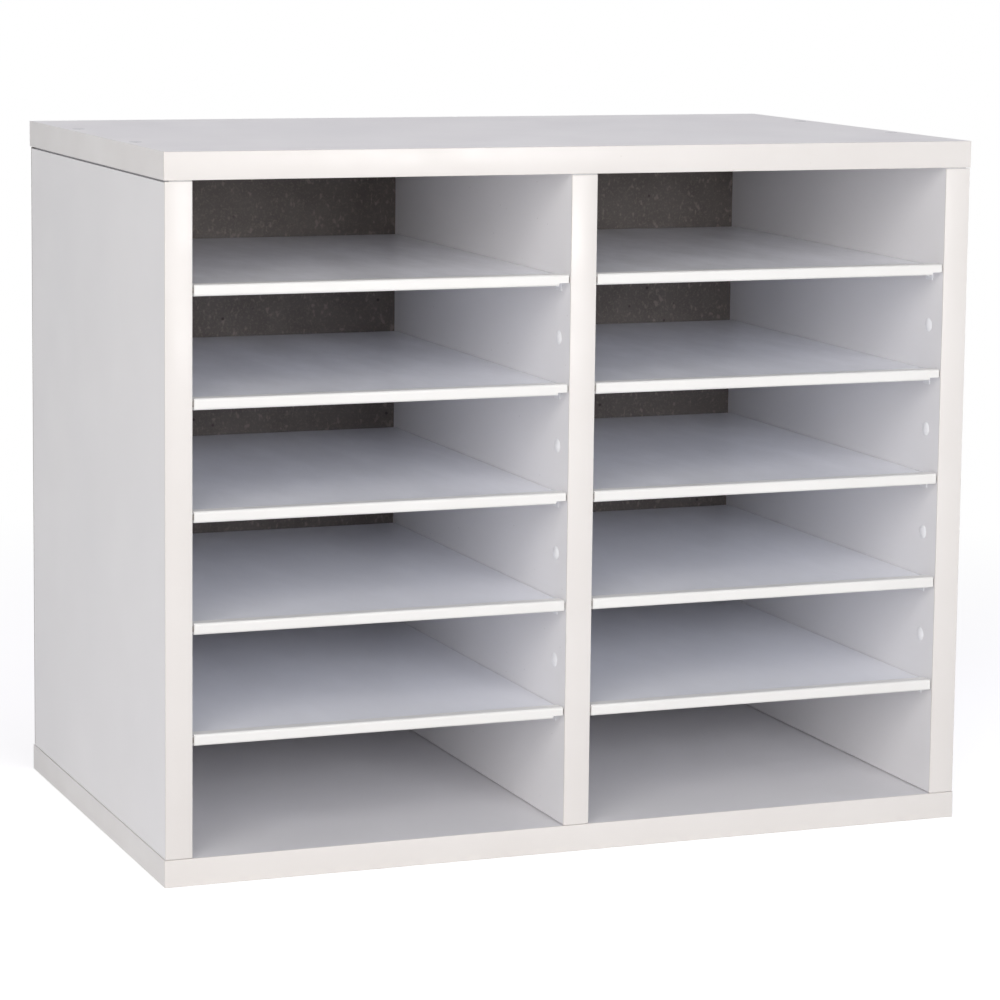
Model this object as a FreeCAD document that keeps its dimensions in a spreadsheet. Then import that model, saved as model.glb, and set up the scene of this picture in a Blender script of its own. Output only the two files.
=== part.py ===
import FreeCAD, Part
import os
import Sketcher

# Pigeonhole mail sorter: a box of laminated board with a center divider, five thin shelves in each
# of its two columns and a hardboard back. The shelves rest on pins in rows of holes and slide out
# of the front, so each column has six slots.
#
# Shared frame: +X to the right, +Y to the back, +Z up. The origin is under the middle of the
# cabinet, on the surface that it stands on. The open front faces -Y. All sizes are in millimetres.

COLUMNS = {"left": -1, "right": 1}
# Shelves whose trim is cut back at its lower right end, counted from 1 at the bottom.
NOTCHED_TRIMS = {"left": (1, 3, 4, 5), "right": (4, 5)}
HOLES_PER_SHELF = 2
ROWS = 2
UPRIGHTS = 3
SIDE_NAMES = {-1: "left", 1: "right"}
COUNTERSINK_ANGLE = 90
TOLERANCE = 0.001

SIZES = {
    # Cabinet. The top and bottom panels run over the ends of the uprights. Its height comes from
    # the shelves: from the floor to the first hole, up the holes, and from the top shelf to the top.
    "cabinet_width": 505.0,
    "cabinet_depth": 305.0,
    "panel_thickness": 16.0,
    "side_inset": 0.5,
    "edging_thickness": 1.0,
    # Joint lines: rebates along the ends of the uprights, and how far short their edging stops.
    "joint_depth": 2.5,
    "top_joint_height": 1.1,
    "bottom_joint_height": 0.5,
    "inner_joint_height": 0.7,
    "edging_top_gap": 0.6,
    "edging_bottom_gap": 0.3,
    # Hardboard back, on the rear edges of the uprights.
    "back_thickness": 3.0,
    "back_edge_gap": 0.5,
    # Rows of blind holes for the shelf pins. The front row also has a spare hole half way between
    # the shelves. Facing holes in the divider leave hole_web between them.
    "shelf_count": 5,
    "hole_pitch": 32.0,
    "first_hole_height": 65.0,
    "top_slot_height": 63.2,
    "front_hole_setback": 17.5,
    "rear_hole_setback": 54.5,
    "hole_web": 1.0,
    # Gap all round what sits in a hole, and from its end to the end of the hole.
    "fit_clearance": 0.05,
    "hole_end_gap": 0.5,
    # Shelf board, which nearly fills its column, and the shorter channel trim on its front edge.
    "shelf_thickness": 3.2,
    "shelf_end_gap": 0.25,
    "shelf_rear_gap": 6.0,
    "shelf_front_setback": 0.5,
    "trim_end_gap": 1.15,
    "trim_depth": 8.0,
    "trim_web": 1.6,
    "trim_leg": 1.7,
    "trim_rounding": 1.4,
    "trim_notch_length": 6.0,
    # Shelf pin: a peg, a plate against the wall, a flat seat on top and a rib under the seat.
    "pin_diameter": 5.0,
    "pin_plate_width": 8.0,
    "pin_plate_thickness": 0.8,
    "pin_plate_drop": 4.2,
    "pin_seat_rise": 1.8,
    "pin_seat_thickness": 1.6,
    "pin_seat_length": 9.0,
    "pin_seat_width": 7.0,
    "pin_rib_thickness": 2.0,
    "pin_rib_length": 7.0,
    "pin_rib_drop": 2.6,
    # Cap in each spare hole: a stem and a low head that narrows from its rim to its crown.
    "cap_diameter": 8.2,
    "cap_crown_diameter": 5.6,
    "cap_rim": 0.4,
    "cap_crown": 0.8,
    # Countersunk connector screws through the top and bottom panels into the uprights.
    "screw_diameter": 5.0,
    "screw_length": 50.0,
    "screw_tip": 2.0,
    "screw_head_diameter": 7.2,
    "screw_sink": 0.3,
    "screw_socket_width": 3.5,
    "screw_socket_depth": 2.2,
    "front_screw_setback": 88.5,
    "rear_screw_setback": 85.5,
    # Wooden dowels between the same panels. The panel's outer face covers them by dowel_cover.
    "dowel_diameter": 8.0,
    "dowel_length": 30.0,
    "dowel_cover": 5.5,
    "dowel_chamfer": 1.0,
    "front_dowel_setback": 40.0,
    "rear_dowel_setback": 32.0,
    # Nails through the back into the rear edges of the uprights.
    "nails_per_upright": 5,
    "nail_diameter": 1.6,
    "nail_length": 20.0,
    "nail_point": 1.6,
    "nail_head_diameter": 3.6,
    "nail_head_thickness": 0.6,
    "nail_end_setback": 25.0,
}

# Places that several pieces share, as expressions over the sheet.
HALF_WIDTH = "sizes.cabinet_width / 2"
FRONT = "-sizes.cabinet_depth / 2"
REAR = "sizes.cabinet_depth / 2"
CORE_FRONT = "(sizes.edging_thickness - sizes.cabinet_depth / 2)"
UPRIGHT_REAR = "(sizes.cabinet_depth / 2 - sizes.back_thickness)"
SHELF_PITCH = f"{HOLES_PER_SHELF} * sizes.hole_pitch"
TOP_SHELF = f"(sizes.first_hole_height + (sizes.shelf_count - 1) * {SHELF_PITCH} + sizes.pin_seat_rise)"
UPRIGHT_HEIGHT = f"({TOP_SHELF} + sizes.top_slot_height)"
CABINET_HEIGHT = f"({UPRIGHT_HEIGHT} + 2 * sizes.panel_thickness)"
HALF_PANEL = "sizes.panel_thickness / 2"
SIDE_X = "(sizes.cabinet_width / 2 - sizes.side_inset - sizes.panel_thickness / 2)"
COLUMN_WIDTH = "(sizes.cabinet_width / 2 - sizes.side_inset - 1.5 * sizes.panel_thickness)"
COLUMN_X = f"({COLUMN_WIDTH} + sizes.panel_thickness) / 2"
FRONT_HOLE_Y = "(sizes.front_hole_setback - sizes.cabinet_depth / 2)"
REAR_HOLE_Y = f"({UPRIGHT_REAR} - sizes.rear_hole_setback)"
FRONT_SCREW_Y = "(sizes.front_screw_setback - sizes.cabinet_depth / 2)"
REAR_SCREW_Y = f"({UPRIGHT_REAR} - sizes.rear_screw_setback)"
FRONT_DOWEL_Y = "(sizes.front_dowel_setback - sizes.cabinet_depth / 2)"
REAR_DOWEL_Y = f"({UPRIGHT_REAR} - sizes.rear_dowel_setback)"
HOLE_DEPTH = "(sizes.panel_thickness - sizes.hole_web) / 2"
PEG_LENGTH = f"({HOLE_DEPTH} - sizes.hole_end_gap)"
DOWEL_HOLE = "sizes.dowel_diameter + 2 * sizes.fit_clearance"
DOWEL_TOP = "(sizes.dowel_cover + sizes.hole_end_gap)"
SCREW_HOLE = "sizes.screw_diameter + 2 * sizes.fit_clearance"
SHELF_HALF = f"({COLUMN_WIDTH} / 2 - sizes.shelf_end_gap)"
TRIM_HALF = f"({COLUMN_WIDTH} / 2 - sizes.trim_end_gap)"
TRIM_FRONT = "(sizes.shelf_front_setback - sizes.cabinet_depth / 2)"

doc = FreeCAD.newDocument("mail_sorter")
sheet = doc.addObject("Spreadsheet::Sheet", "sizes")
for row, (alias, number) in enumerate(SIZES.items(), start=1):
    sheet.set(f"A{row}", str(number))
    sheet.setAlias(f"A{row}", alias)
doc.recompute()


def value(expression):
    """The number that an expression over the sheet gives."""
    return float(sheet.evalExpression(str(expression)))


def count(alias):
    return int(round(value(f"sizes.{alias}")))


# ---- Bodies and sketches ----------------------------------------------------------------------

def new_body(label, x="0", y="0", z="0", flipped=False):
    """A body placed at (x, y, z). A flipped one is turned upside down about the Y axis."""
    body = doc.addObject("PartDesign::Body", label)
    body.Label = label
    if flipped:
        body.Placement.Rotation = FreeCAD.Rotation(FreeCAD.Vector(0, 1, 0), 180)
    for axis, place in zip("xyz", (x, y, z)):
        body.setExpression(f"Placement.Base.{axis}", str(place))
    return body


def origin_feature(body, role):
    return next(item for item in body.Origin.OriginFeatures if item.Role == role)


def new_sketch(body, name, role, offset=("0", "0", "0")):
    """A sketch on one of the body's origin planes, moved by offset in the plane's own axes."""
    sketch = body.newObject("Sketcher::SketchObject", f"{body.Name}_{name}")
    sketch.AttachmentSupport = [(origin_feature(body, role), "")]
    sketch.MapMode = "FlatFace"
    for axis, distance in zip("xyz", offset):
        sketch.setExpression(f"AttachmentOffset.Base.{axis}", distance)
    return sketch


def dimension(sketch, kind, references, expression):
    """A named dimension of the sketch that follows an expression."""
    constraint = Sketcher.Constraint(kind, *references, value(expression))
    index = sketch.addConstraint(constraint)
    name = f"d{index}"
    sketch.renameConstraint(index, name)
    sketch.setExpression(f"Constraints.{name}", expression)


def polygon(sketch, corners):
    """A closed outline of straight lines through corners, each given as two expressions."""
    points = [FreeCAD.Vector(value(x), value(y), 0) for x, y in corners]
    first = sketch.GeometryCount
    for start, end in zip(points, points[1:] + points[:1]):
        sketch.addGeometry(Part.LineSegment(start, end), False)
    for step, (x, y) in enumerate(corners):
        line = first + step
        following = first + (step + 1) % len(corners)
        sketch.addConstraint(Sketcher.Constraint("Coincident", line, 2, following, 1))
        dimension(sketch, "DistanceX", (-1, 1, line, 1), x)
        dimension(sketch, "DistanceY", (-1, 1, line, 1), y)


def rectangle(sketch, left, right, low, high):
    polygon(sketch, [(left, low), (right, low), (right, high), (left, high)])


def circles(sketch, centres, diameter):
    for x, y in centres:
        centre = FreeCAD.Vector(value(x), value(y), 0)
        disc = Part.Circle(centre, FreeCAD.Vector(0, 0, 1), value(diameter) / 2)
        index = sketch.addGeometry(disc, False)
        dimension(sketch, "DistanceX", (-1, 1, index, 3), x)
        dimension(sketch, "DistanceY", (-1, 1, index, 3), y)
        dimension(sketch, "Diameter", (index,), diameter)


# ---- Features ---------------------------------------------------------------------------------

def extrude(body, kind, sketch, length, backwards=False, midplane=False):
    """A pad along the sketch's normal, or a pocket against it, or the other way if backwards."""
    feature = body.newObject(f"PartDesign::{kind}", f"{sketch.Name}_{kind.lower()}")
    feature.Profile = sketch
    feature.setExpression("Length", length)
    feature.Reversed = backwards
    feature.Midplane = midplane
    return feature


def pad(body, sketch, length, **options):
    return extrude(body, "Pad", sketch, length, **options)


def pocket(body, sketch, length, **options):
    return extrude(body, "Pocket", sketch, length, **options)


def revolve(body, sketch, axis):
    feature = body.newObject("PartDesign::Revolution", f"{sketch.Name}_revolution")
    feature.Profile = sketch
    feature.ReferenceAxis = (sketch, [axis])
    feature.Angle = 360
    return feature


def linear_step(body, name, role, length, copies):
    """Copies along an origin axis, length from the first to the last."""
    step = body.newObject("PartDesign::LinearPattern", f"{body.Name}_{name}")
    step.Direction = (origin_feature(body, role), [""])
    step.setExpression("Length", length)
    step.Occurrences = copies
    return step


def repeat(body, features, steps):
    """Repeats the features by each step in turn."""
    pattern = body.newObject("PartDesign::MultiTransform", f"{body.Name}_pattern")
    pattern.Originals = features
    pattern.Transformations = steps
    body.Tip = pattern
    return pattern


def repeat_rows(body, features, front, rear, more=()):
    """Repeats the features from the front row to the rear row, and by any further steps."""
    row_step = linear_step(body, "row_step", "Y_Axis", f"{rear} - {front}", ROWS)
    return repeat(body, features, [row_step, *more])


def plate(body, left, right, front, rear, thickness, downwards=False):
    """A rectangular board on the body's XY plane."""
    outline = new_sketch(body, "outline", "XY_Plane")
    rectangle(outline, left, right, front, rear)
    return pad(body, outline, thickness, backwards=downwards)


# ---- Cabinet ----------------------------------------------------------------------------------

def cover_panel(label, height, flipped, screw_places):
    """Top or bottom panel. Its outer face is z = 0, and its core runs down from there."""
    body = new_body(label, z=height, flipped=flipped)
    plate(body, f"sizes.edging_thickness - {HALF_WIDTH}", f"{HALF_WIDTH} - sizes.edging_thickness",
          CORE_FRONT, REAR, "sizes.panel_thickness", downwards=True)

    dowel_holes = new_sketch(body, "dowel_holes", "XY_Plane", ("0", "0", "-sizes.panel_thickness"))
    circles(dowel_holes, dowel_places(), DOWEL_HOLE)
    pocket(body, dowel_holes, "sizes.panel_thickness - sizes.dowel_cover", backwards=True)

    screw_holes = new_sketch(body, "screw_holes", "XY_Plane")
    circles(screw_holes, screw_places, SCREW_HOLE)
    doc.recompute()
    hole = body.newObject("PartDesign::Hole", f"{body.Name}_screw_hole")
    hole.Profile = screw_holes
    hole.DepthType = "ThroughAll"
    hole.setExpression("Diameter", SCREW_HOLE)
    hole.HoleCutType = "Countersink"
    hole.HoleCutCustomValues = True
    hole.setExpression("HoleCutDiameter",
                       "sizes.screw_head_diameter + 2 * (sizes.screw_sink + sizes.fit_clearance)")
    hole.HoleCutCountersinkAngle = COUNTERSINK_ANGLE


def dowel_places():
    return [(x, y) for x in (f"-{SIDE_X}", "0", SIDE_X) for y in (FRONT_DOWEL_Y, REAR_DOWEL_Y)]


def upright(label, x, holed_faces, outer_face=None):
    """Side panel or divider. z = 0 is its lower end, and faces are -1 for left and 1 for right.

    Only a side panel has an outer face. All others look into a column and have pin holes.
    """
    body = new_body(label, x=x, z="sizes.panel_thickness")
    plate(body, f"-{HALF_PANEL}", HALF_PANEL, CORE_FRONT, UPRIGHT_REAR, UPRIGHT_HEIGHT)
    drill_end(body, "lower", "0", upwards=True, screwed=True)
    drill_end(body, "upper", UPRIGHT_HEIGHT, upwards=False, screwed=outer_face is not None)

    nail_holes = new_sketch(body, "nail_holes", "XZ_Plane", ("0", "0", f"-{UPRIGHT_REAR}"))
    circles(nail_holes, nail_places(["0"], "0"), "sizes.nail_diameter + 2 * sizes.fit_clearance")
    pocket(body, nail_holes, "sizes.nail_length - sizes.back_thickness + sizes.hole_end_gap",
           backwards=True)

    shelves = count("shelf_count")
    pin_holes(body, "front", FRONT_HOLE_Y, holed_faces, "sizes.hole_pitch",
              HOLES_PER_SHELF * (shelves - 1) + 1)
    pin_holes(body, "rear", REAR_HOLE_Y, holed_faces, SHELF_PITCH, shelves)

    for face in holed_faces:
        joint_line(body, f"{SIDE_NAMES[face]}_lower", face, "0", "sizes.inner_joint_height")
    if outer_face is not None:
        joint_line(body, "outer_lower", outer_face, "0", "sizes.bottom_joint_height")
        joint_line(body, "outer_upper", outer_face, f"({UPRIGHT_HEIGHT} - sizes.top_joint_height)",
                   "sizes.top_joint_height")


def pin_holes(body, row, y, faces, pitch, holes):
    """One row of blind holes up each of the upright's holed faces."""
    drilled = []
    for face in faces:
        sketch = new_sketch(body, f"{SIDE_NAMES[face]}_{row}_hole", "YZ_Plane",
                            ("0", "0", f"{face} * {HALF_PANEL}"))
        circles(sketch, [(y, "sizes.first_hole_height")], "sizes.pin_diameter + 2 * sizes.fit_clearance")
        drilled.append(pocket(body, sketch, HOLE_DEPTH, backwards=face < 0))
    column = linear_step(body, f"{row}_hole_column", "Z_Axis", f"{holes - 1} * {pitch}", holes)
    column.Originals = drilled
    body.Tip = column


def joint_line(body, name, face, low, height):
    """A narrow rebate along one face of an upright, from low up, where it meets a cover panel."""
    sketch = new_sketch(body, f"{name}_joint", "XZ_Plane")
    rectangle(sketch, f"{face} * ({HALF_PANEL} - sizes.joint_depth)", f"{face} * {HALF_PANEL}",
              low, f"{low} + {height}")
    pocket(body, sketch, "sizes.cabinet_depth", midplane=True)


def drill_end(body, name, height, upwards, screwed):
    """Dowel holes, and where it is screwed the screw holes, in one end of an upright."""
    offset = ("0", "0", height)
    dowel_holes = new_sketch(body, f"{name}_dowel_holes", "XY_Plane", offset)
    circles(dowel_holes, [("0", FRONT_DOWEL_Y), ("0", REAR_DOWEL_Y)], DOWEL_HOLE)
    in_panel = f"(sizes.panel_thickness - {DOWEL_TOP})"
    pocket(body, dowel_holes, f"sizes.dowel_length - {in_panel} + sizes.hole_end_gap", backwards=upwards)
    if screwed:
        screw_holes = new_sketch(body, f"{name}_screw_holes", "XY_Plane", offset)
        circles(screw_holes, [("0", FRONT_SCREW_Y), ("0", REAR_SCREW_Y)], SCREW_HOLE)
        in_panel = "(sizes.panel_thickness - sizes.screw_sink)"
        pocket(body, screw_holes, f"sizes.screw_length - {in_panel} + sizes.hole_end_gap",
               backwards=upwards)


def nail_places(across, base):
    """Nail centres in the XZ plane, for uprights at across whose lower end is at base."""
    nails = count("nails_per_upright")
    spacing = f"({UPRIGHT_HEIGHT} - 2 * sizes.nail_end_setback) / {nails - 1}"
    heights = [f"{base} + sizes.nail_end_setback + {step} * {spacing}" for step in range(nails)]
    return [(x, z) for x in across for z in heights]


def back_panel():
    """Hardboard back between the top and bottom panels."""
    body = new_body("back_panel", z="sizes.panel_thickness")
    at_rear = ("0", "0", f"-{REAR}")
    outline = new_sketch(body, "outline", "XZ_Plane", at_rear)
    half = f"({HALF_WIDTH} - sizes.side_inset - sizes.back_edge_gap)"
    rectangle(outline, f"-{half}", half, "sizes.back_edge_gap", f"{UPRIGHT_HEIGHT} - sizes.back_edge_gap")
    pad(body, outline, "sizes.back_thickness")
    places = nail_places([f"-{SIDE_X}", "0", SIDE_X], "0")
    for name, diameter, depth in (("nail", "nail_diameter", "back_thickness"),
                                  ("head", "nail_head_diameter", "nail_head_thickness")):
        holes = new_sketch(body, f"{name}_holes", "XZ_Plane", at_rear)
        circles(holes, places, f"sizes.{diameter} + 2 * sizes.fit_clearance")
        pocket(body, holes, f"sizes.{depth}", backwards=True)


def edging(label, left, right, front, rear, low, height):
    """A strip of edge banding."""
    body = new_body(label, z=low)
    plate(body, left, right, front, rear, height)


def cover_edging(name, low):
    """The front strip and the two end strips of the top or bottom panel."""
    thickness = "sizes.panel_thickness"
    inner = f"({HALF_WIDTH} - sizes.edging_thickness)"
    edging(f"{name}_front_edging", f"-{HALF_WIDTH}", HALF_WIDTH, FRONT, CORE_FRONT, low, thickness)
    edging(f"{name}_left_edging", f"-{HALF_WIDTH}", f"-{inner}", CORE_FRONT, REAR, low, thickness)
    edging(f"{name}_right_edging", inner, HALF_WIDTH, CORE_FRONT, REAR, low, thickness)


# ---- Fasteners --------------------------------------------------------------------------------

def screws(label, height, flipped, across):
    """Connector screws with their heads towards z = 0 and their tips down, one at each upright."""
    body = new_body(label, z=height, flipped=flipped)
    shaft = new_sketch(body, "profile", "XZ_Plane", (f"-{SIDE_X}", "0", f"-{FRONT_SCREW_Y}"))
    neck = "sizes.screw_diameter / 2"
    rim = "sizes.screw_head_diameter / 2"
    top = "-sizes.screw_sink"
    end = "-(sizes.screw_sink + sizes.screw_length)"
    polygon(shaft, [("0", top), (rim, top), (neck, f"{top} - ({rim} - {neck})"),
                    (neck, f"{end} + sizes.screw_tip"), ("sizes.screw_tip / 2", end), ("0", end)])
    shank = revolve(body, shaft, "V_Axis")

    socket = new_sketch(body, "socket", "XY_Plane", (f"-{SIDE_X}", FRONT_SCREW_Y, top))
    corner = "sizes.screw_socket_width / sqrt(3)"
    half = "sizes.screw_socket_width / 2"
    polygon(socket, [(f"-{corner}", "0"), (f"-{corner} / 2", f"-{half}"), (f"{corner} / 2", f"-{half}"),
                     (corner, "0"), (f"{corner} / 2", half), (f"-{corner} / 2", half)])
    recess = pocket(body, socket, "sizes.screw_socket_depth")
    columns = linear_step(body, "upright_step", "X_Axis", f"2 * {SIDE_X}", across)
    repeat_rows(body, [shank, recess], FRONT_SCREW_Y, REAR_SCREW_Y, [columns])


def dowels(label, height, flipped):
    """Dowels that stand in the inner face of the top or bottom panel, whose outer face is z = 0."""
    body = new_body(label, z=height, flipped=flipped)
    ends = new_sketch(body, "ends", "XY_Plane", ("0", "0", f"-{DOWEL_TOP}"))
    circles(ends, dowel_places(), "sizes.dowel_diameter")
    sticks = pad(body, ends, "sizes.dowel_length", backwards=True)
    doc.recompute()
    rims = [f"Edge{number}" for number, edge in enumerate(sticks.Shape.Edges, start=1)
            if isinstance(edge.Curve, Part.Circle)]
    chamfer = body.newObject("PartDesign::Chamfer", f"{body.Name}_chamfer")
    chamfer.Base = (sticks, rims)
    chamfer.setExpression("Size", "sizes.dowel_chamfer")


def back_nails():
    """Nails through the back, with their heads flush with its rear face."""
    body = new_body("back_nails", z="sizes.panel_thickness")
    profile = new_sketch(body, "profile", "XY_Plane", (f"-{SIDE_X}", REAR, "sizes.nail_end_setback"))
    rim = "sizes.nail_head_diameter / 2"
    shank = "sizes.nail_diameter / 2"
    under = "-sizes.nail_head_thickness"
    polygon(profile, [("0", "0"), (rim, "0"), (rim, under), (shank, under),
                      (shank, "sizes.nail_point - sizes.nail_length"), ("0", "-sizes.nail_length")])
    nail = revolve(body, profile, "V_Axis")
    columns = linear_step(body, "upright_step", "X_Axis", f"2 * {SIDE_X}", UPRIGHTS)
    climb = linear_step(body, "height_step", "Z_Axis", f"{UPRIGHT_HEIGHT} - 2 * sizes.nail_end_setback",
                        count("nails_per_upright"))
    repeat(body, [nail], [columns, climb])


# ---- Shelves ----------------------------------------------------------------------------------

def shelf_height(number):
    """Height of the hole axis that carries shelf number, counted from 1 at the bottom."""
    return f"sizes.panel_thickness + sizes.first_hole_height + {number - 1} * {SHELF_PITCH}"


def shelf_board(label, x, z):
    """Thin board, from the channel trim's web to just before the back. Its underside is z = 0."""
    body = new_body(label, x=x, z=z)
    plate(body, f"-{SHELF_HALF}", SHELF_HALF, f"{TRIM_FRONT} + sizes.trim_web",
          f"{UPRIGHT_REAR} - sizes.shelf_rear_gap", "sizes.shelf_thickness")


def shelf_trim(label, x, z, notched):
    """Channel trim: a web before the board's front edge, and a leg above and below the board.

    The lower leg of a notched one is cut back at the right end.
    """
    body = new_body(label, x=x, z=z)
    profile = new_sketch(body, "profile", "YZ_Plane")
    slot = f"{TRIM_FRONT} + sizes.trim_web"
    legs = f"{TRIM_FRONT} + sizes.trim_depth"
    low = "-sizes.trim_leg"
    high = "sizes.shelf_thickness + sizes.trim_leg"
    polygon(profile, [(TRIM_FRONT, low), (legs, low), (legs, "0"), (slot, "0"),
                      (slot, "sizes.shelf_thickness"), (legs, "sizes.shelf_thickness"),
                      (legs, high), (TRIM_FRONT, high)])
    channel = pad(body, profile, f"2 * {TRIM_HALF}", midplane=True)

    doc.recompute()
    front = value(TRIM_FRONT)
    edges = [f"Edge{number}" for number, edge in enumerate(channel.Shape.Edges, start=1)
             if max(abs(edge.BoundBox.YMin - front), abs(edge.BoundBox.YMax - front)) < TOLERANCE
             and edge.BoundBox.XLength > TOLERANCE]
    rounding = body.newObject("PartDesign::Fillet", f"{body.Name}_rounding")
    rounding.Base = (channel, edges)
    rounding.setExpression("Radius", "sizes.trim_rounding")

    if notched:
        notch = new_sketch(body, "notch", "XZ_Plane", ("0", "0", f"-({TRIM_FRONT})"))
        rectangle(notch, f"{TRIM_HALF} - sizes.trim_notch_length", TRIM_HALF, low, "0")
        pocket(body, notch, "sizes.trim_depth")


def shelf_pins(label, x, z):
    """Four pins of one shelf, in the walls of its column. z = 0 is the axis of their holes."""
    body = new_body(label, x=x, z=z)
    wall = f"-{COLUMN_WIDTH} / 2"
    on_wall = ("0", "0", wall)

    peg_sketch = new_sketch(body, "peg", "YZ_Plane", on_wall)
    circles(peg_sketch, [(FRONT_HOLE_Y, "0")], "sizes.pin_diameter")
    peg = pad(body, peg_sketch, PEG_LENGTH, backwards=True)

    plate_sketch = new_sketch(body, "wall_plate", "YZ_Plane", on_wall)
    plate_half = "sizes.pin_plate_width / 2"
    rectangle(plate_sketch, f"{FRONT_HOLE_Y} - {plate_half}", f"{FRONT_HOLE_Y} + {plate_half}",
              "-sizes.pin_plate_drop", "sizes.pin_seat_rise")
    wall_plate = pad(body, plate_sketch, "sizes.pin_plate_thickness")

    seat_sketch = new_sketch(body, "seat", "YZ_Plane", on_wall)
    seat_half = "sizes.pin_seat_width / 2"
    rectangle(seat_sketch, f"{FRONT_HOLE_Y} - {seat_half}", f"{FRONT_HOLE_Y} + {seat_half}",
              "sizes.pin_seat_rise - sizes.pin_seat_thickness", "sizes.pin_seat_rise")
    seat = pad(body, seat_sketch, "sizes.pin_plate_thickness + sizes.pin_seat_length")

    rib_sketch = new_sketch(body, "rib", "XZ_Plane", ("0", "0", f"-({FRONT_HOLE_Y})"))
    root = f"{wall} + sizes.pin_plate_thickness / 2"
    under = "sizes.pin_seat_rise - sizes.pin_seat_thickness / 2"
    polygon(rib_sketch, [(root, "-sizes.pin_rib_drop"),
                         (f"{wall} + sizes.pin_plate_thickness + sizes.pin_rib_length", under),
                         (root, under)])
    rib = pad(body, rib_sketch, "sizes.pin_rib_thickness", midplane=True)

    opposite = body.newObject("PartDesign::Mirrored", f"{body.Name}_opposite")
    opposite.MirrorPlane = (origin_feature(body, "YZ_Plane"), [""])
    repeat_rows(body, [peg, wall_plate, seat, rib], FRONT_HOLE_Y, REAR_HOLE_Y, [opposite])


def hole_caps(label, x, facing):
    """Caps in the spare holes of one wall face at x."""
    body = new_body(label, x=x, z="sizes.panel_thickness + sizes.first_hole_height + sizes.hole_pitch")
    profile = new_sketch(body, "profile", "XY_Plane", ("0", FRONT_HOLE_Y, "0"))
    stem = f"{-facing} * {PEG_LENGTH}"
    neck = "sizes.pin_diameter / 2"
    rim = "sizes.cap_diameter / 2"
    crown = f"{facing} * (sizes.cap_rim + sizes.cap_crown)"
    polygon(profile, [(stem, "0"), (stem, neck), ("0", neck), ("0", rim),
                      (f"{facing} * sizes.cap_rim", rim), (crown, "sizes.cap_crown_diameter / 2"),
                      (crown, "0")])
    cap = revolve(body, profile, "H_Axis")
    gaps = count("shelf_count") - 1
    climb = linear_step(body, "shelf_step", "Z_Axis", f"{gaps - 1} * {SHELF_PITCH}", gaps)
    climb.Originals = [cap]
    body.Tip = climb


# ---- Assembly ---------------------------------------------------------------------------------

def build_cabinet():
    outer_screws = [(x, y) for x in (f"-{SIDE_X}", SIDE_X) for y in (FRONT_SCREW_Y, REAR_SCREW_Y)]
    middle_screws = [("0", y) for y in (FRONT_SCREW_Y, REAR_SCREW_Y)]
    cover_panel("top_panel", CABINET_HEIGHT, False, outer_screws)
    cover_panel("bottom_panel", "0", True, outer_screws + middle_screws)
    cover_edging("top_panel", f"{UPRIGHT_HEIGHT} + sizes.panel_thickness")
    cover_edging("bottom_panel", "0")

    upright("left_side_panel", f"-{SIDE_X}", holed_faces=[1], outer_face=-1)
    upright("right_side_panel", SIDE_X, holed_faces=[-1], outer_face=1)
    upright("center_divider", "0", holed_faces=[-1, 1])
    for name, x in (("left_side", f"-{SIDE_X}"), ("right_side", SIDE_X), ("divider", "0")):
        edging(f"{name}_edging", f"{x} - {HALF_PANEL}", f"{x} + {HALF_PANEL}", FRONT, CORE_FRONT,
               "sizes.panel_thickness + sizes.edging_bottom_gap",
               f"{UPRIGHT_HEIGHT} - sizes.edging_bottom_gap - sizes.edging_top_gap")
    back_panel()


def build_fasteners():
    screws("top_screws", CABINET_HEIGHT, False, across=2)
    screws("bottom_screws", "0", True, across=UPRIGHTS)
    dowels("top_dowels", CABINET_HEIGHT, False)
    dowels("bottom_dowels", "0", True)
    back_nails()
    hole_caps("left_side_hole_caps", f"{HALF_PANEL} - {SIDE_X}", facing=1)
    hole_caps("divider_left_hole_caps", f"-{HALF_PANEL}", facing=-1)
    hole_caps("divider_right_hole_caps", HALF_PANEL, facing=1)
    hole_caps("right_side_hole_caps", f"{SIDE_X} - {HALF_PANEL}", facing=-1)


def build_shelves():
    for column, side in COLUMNS.items():
        for number in range(1, count("shelf_count") + 1):
            x = f"{side} * {COLUMN_X}"
            holes = shelf_height(number)
            seat = f"{holes} + sizes.pin_seat_rise"
            name = f"{column}_shelf_{number}"
            shelf_board(f"{name}_board", x, seat)
            shelf_trim(f"{name}_trim", x, seat, notched=number in NOTCHED_TRIMS[column])
            shelf_pins(f"{name}_pins", x, holes)


def check_model(bodies):
    """Stops at a failed feature, a cut that cuts nothing, and an empty or invalid solid."""
    for item in doc.Objects:
        if "Invalid" in item.State or "Error" in item.State:
            raise RuntimeError(f"{item.Name} failed: {item.State}")
        if item.TypeId in ("PartDesign::Pocket", "PartDesign::Hole"):
            if item.Shape.Volume >= item.BaseFeature.Shape.Volume - TOLERANCE:
                raise RuntimeError(f"{item.Name} cuts nothing")
    for body in bodies:
        if body.Shape.isNull() or not body.Shape.isValid() or not body.Shape.Solids:
            raise RuntimeError(f"{body.Label} has no valid shape")


build_cabinet()
build_fasteners()
build_shelves()
doc.recompute()

pieces = [item for item in doc.Objects if item.TypeId == "PartDesign::Body"]
check_model(pieces)
os.makedirs("parts", exist_ok=True)
for piece in pieces:
    piece.Shape.exportStep(f"parts/{piece.Label}.step")
    print(f"{piece.Label}: {len(piece.Shape.Solids)} solids, {piece.Shape.Volume / 1000:.2f} cm3")
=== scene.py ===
import math
from collections import namedtuple

import bmesh
import bpy
from mathutils import Matrix, Vector


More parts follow.
